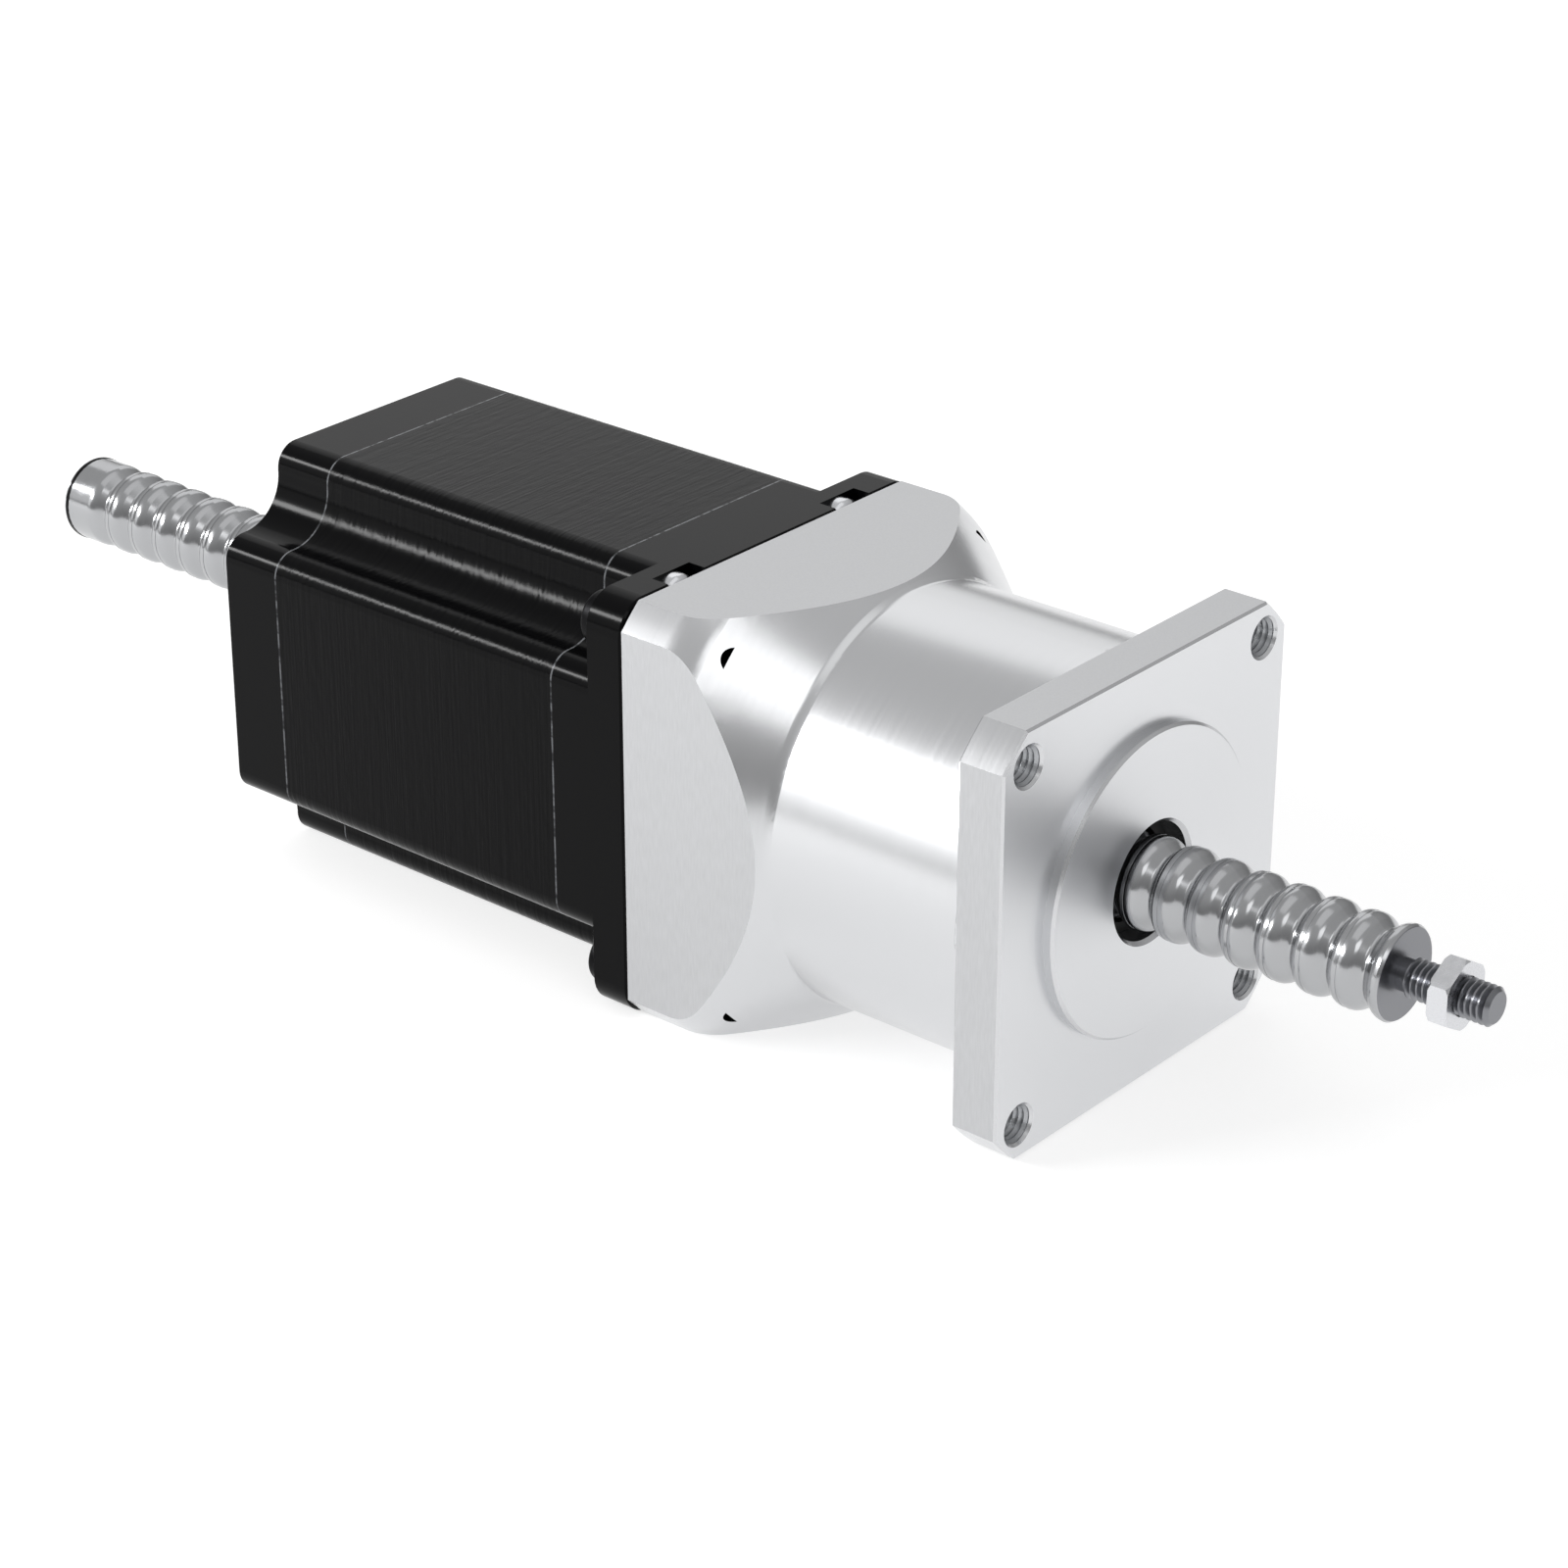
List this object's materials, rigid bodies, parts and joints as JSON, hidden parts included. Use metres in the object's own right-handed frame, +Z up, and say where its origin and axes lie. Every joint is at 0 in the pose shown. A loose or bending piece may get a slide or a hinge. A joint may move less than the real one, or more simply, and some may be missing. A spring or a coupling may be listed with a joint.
{
  "type": "ball screw stepper motor",
  "caption": "Stepper motor with a hollow rotor and a ball nut in an aluminium flange housing, and a ball screw that runs through it with a threaded stud and hex nut.",
  "frame": {"origin": "on the screw's axis, at the front face of the housing's flange", "axes": "+X along the screw, from the motor to the stud; +Z up; a flat side of the motor faces down"},
  "size_m": [0.2378, 0.0576, 0.057],
  "materials": {
    "aluminium": "machined, satin",
    "black_paint": "satin",
    "black_steel": "black oxide, satin",
    "screw_steel": "ground and polished",
    "zinc_steel": "zinc plated",
    "bearing_steel": "ground",
    "core_steel": "laminated",
    "magnet": "plain",
    "copper": "enamelled wire",
    "insulator": "moulded",
    "black_plastic": "moulded",
    "black_rubber": "moulded"
  },
  "bodies": {
    "housing": {"front_housing": "aluminium", "front_wiper": "black_rubber", "nut_bearing_outer_rings": "bearing_steel", "bearing_retainer": "bearing_steel", "front_end_cap": "black_paint", "mounting_screws": "black_steel", "tie_screws": "zinc_steel", "stator_laminations": "black_paint", "winding_insulator_front": "insulator", "winding_insulator_rear": "insulator", "stator_coils": "copper", "rear_end_cap": "black_paint", "lead_grommet": "black_rubber", "rear_bearing_outer_ring": "bearing_steel", "rear_wave_washer": "bearing_steel", "rear_guide_bush": "black_plastic"},
    "rotor": {"hollow_shaft": "bearing_steel", "rotor_core_front": "core_steel", "rotor_magnet": "magnet", "rotor_core_rear": "core_steel", "rear_bearing_inner_ring": "bearing_steel", "rear_bearing_balls": "bearing_steel", "rear_bearing_cage": "black_plastic", "ball_nut": "bearing_steel", "nut_balls": "bearing_steel", "nut_deflectors": "black_plastic", "nut_wiper_front": "black_plastic", "nut_wiper_rear": "black_plastic", "nut_bearing_inner_rings": "bearing_steel", "nut_bearing_balls": "bearing_steel", "nut_bearing_cages": "black_plastic", "bearing_locknut": "bearing_steel", "nut_clamp_screws": "black_steel"},
    "screw": {"ball_screw": "screw_steel", "screw_stop_ring": "black_steel", "stud_nut": "zinc_steel"}
  },
  "joints": [
    {"name": "rotor_spin", "type": "hinge", "parent": "housing", "child": "rotor", "pos_m": [0, 0, 0], "axis": [1, 0, 0], "range_deg": [-3960, 2520]},
    {"name": "screw_travel", "type": "slide", "parent": "housing", "child": "screw", "axis": [1, 0, 0], "range_m": [-0.035, 0.055]}
  ],
  "couplings": [
    {"joint": "screw_travel", "follows": "rotor_spin", "m_per_rad": -0.00079577}
  ]
}
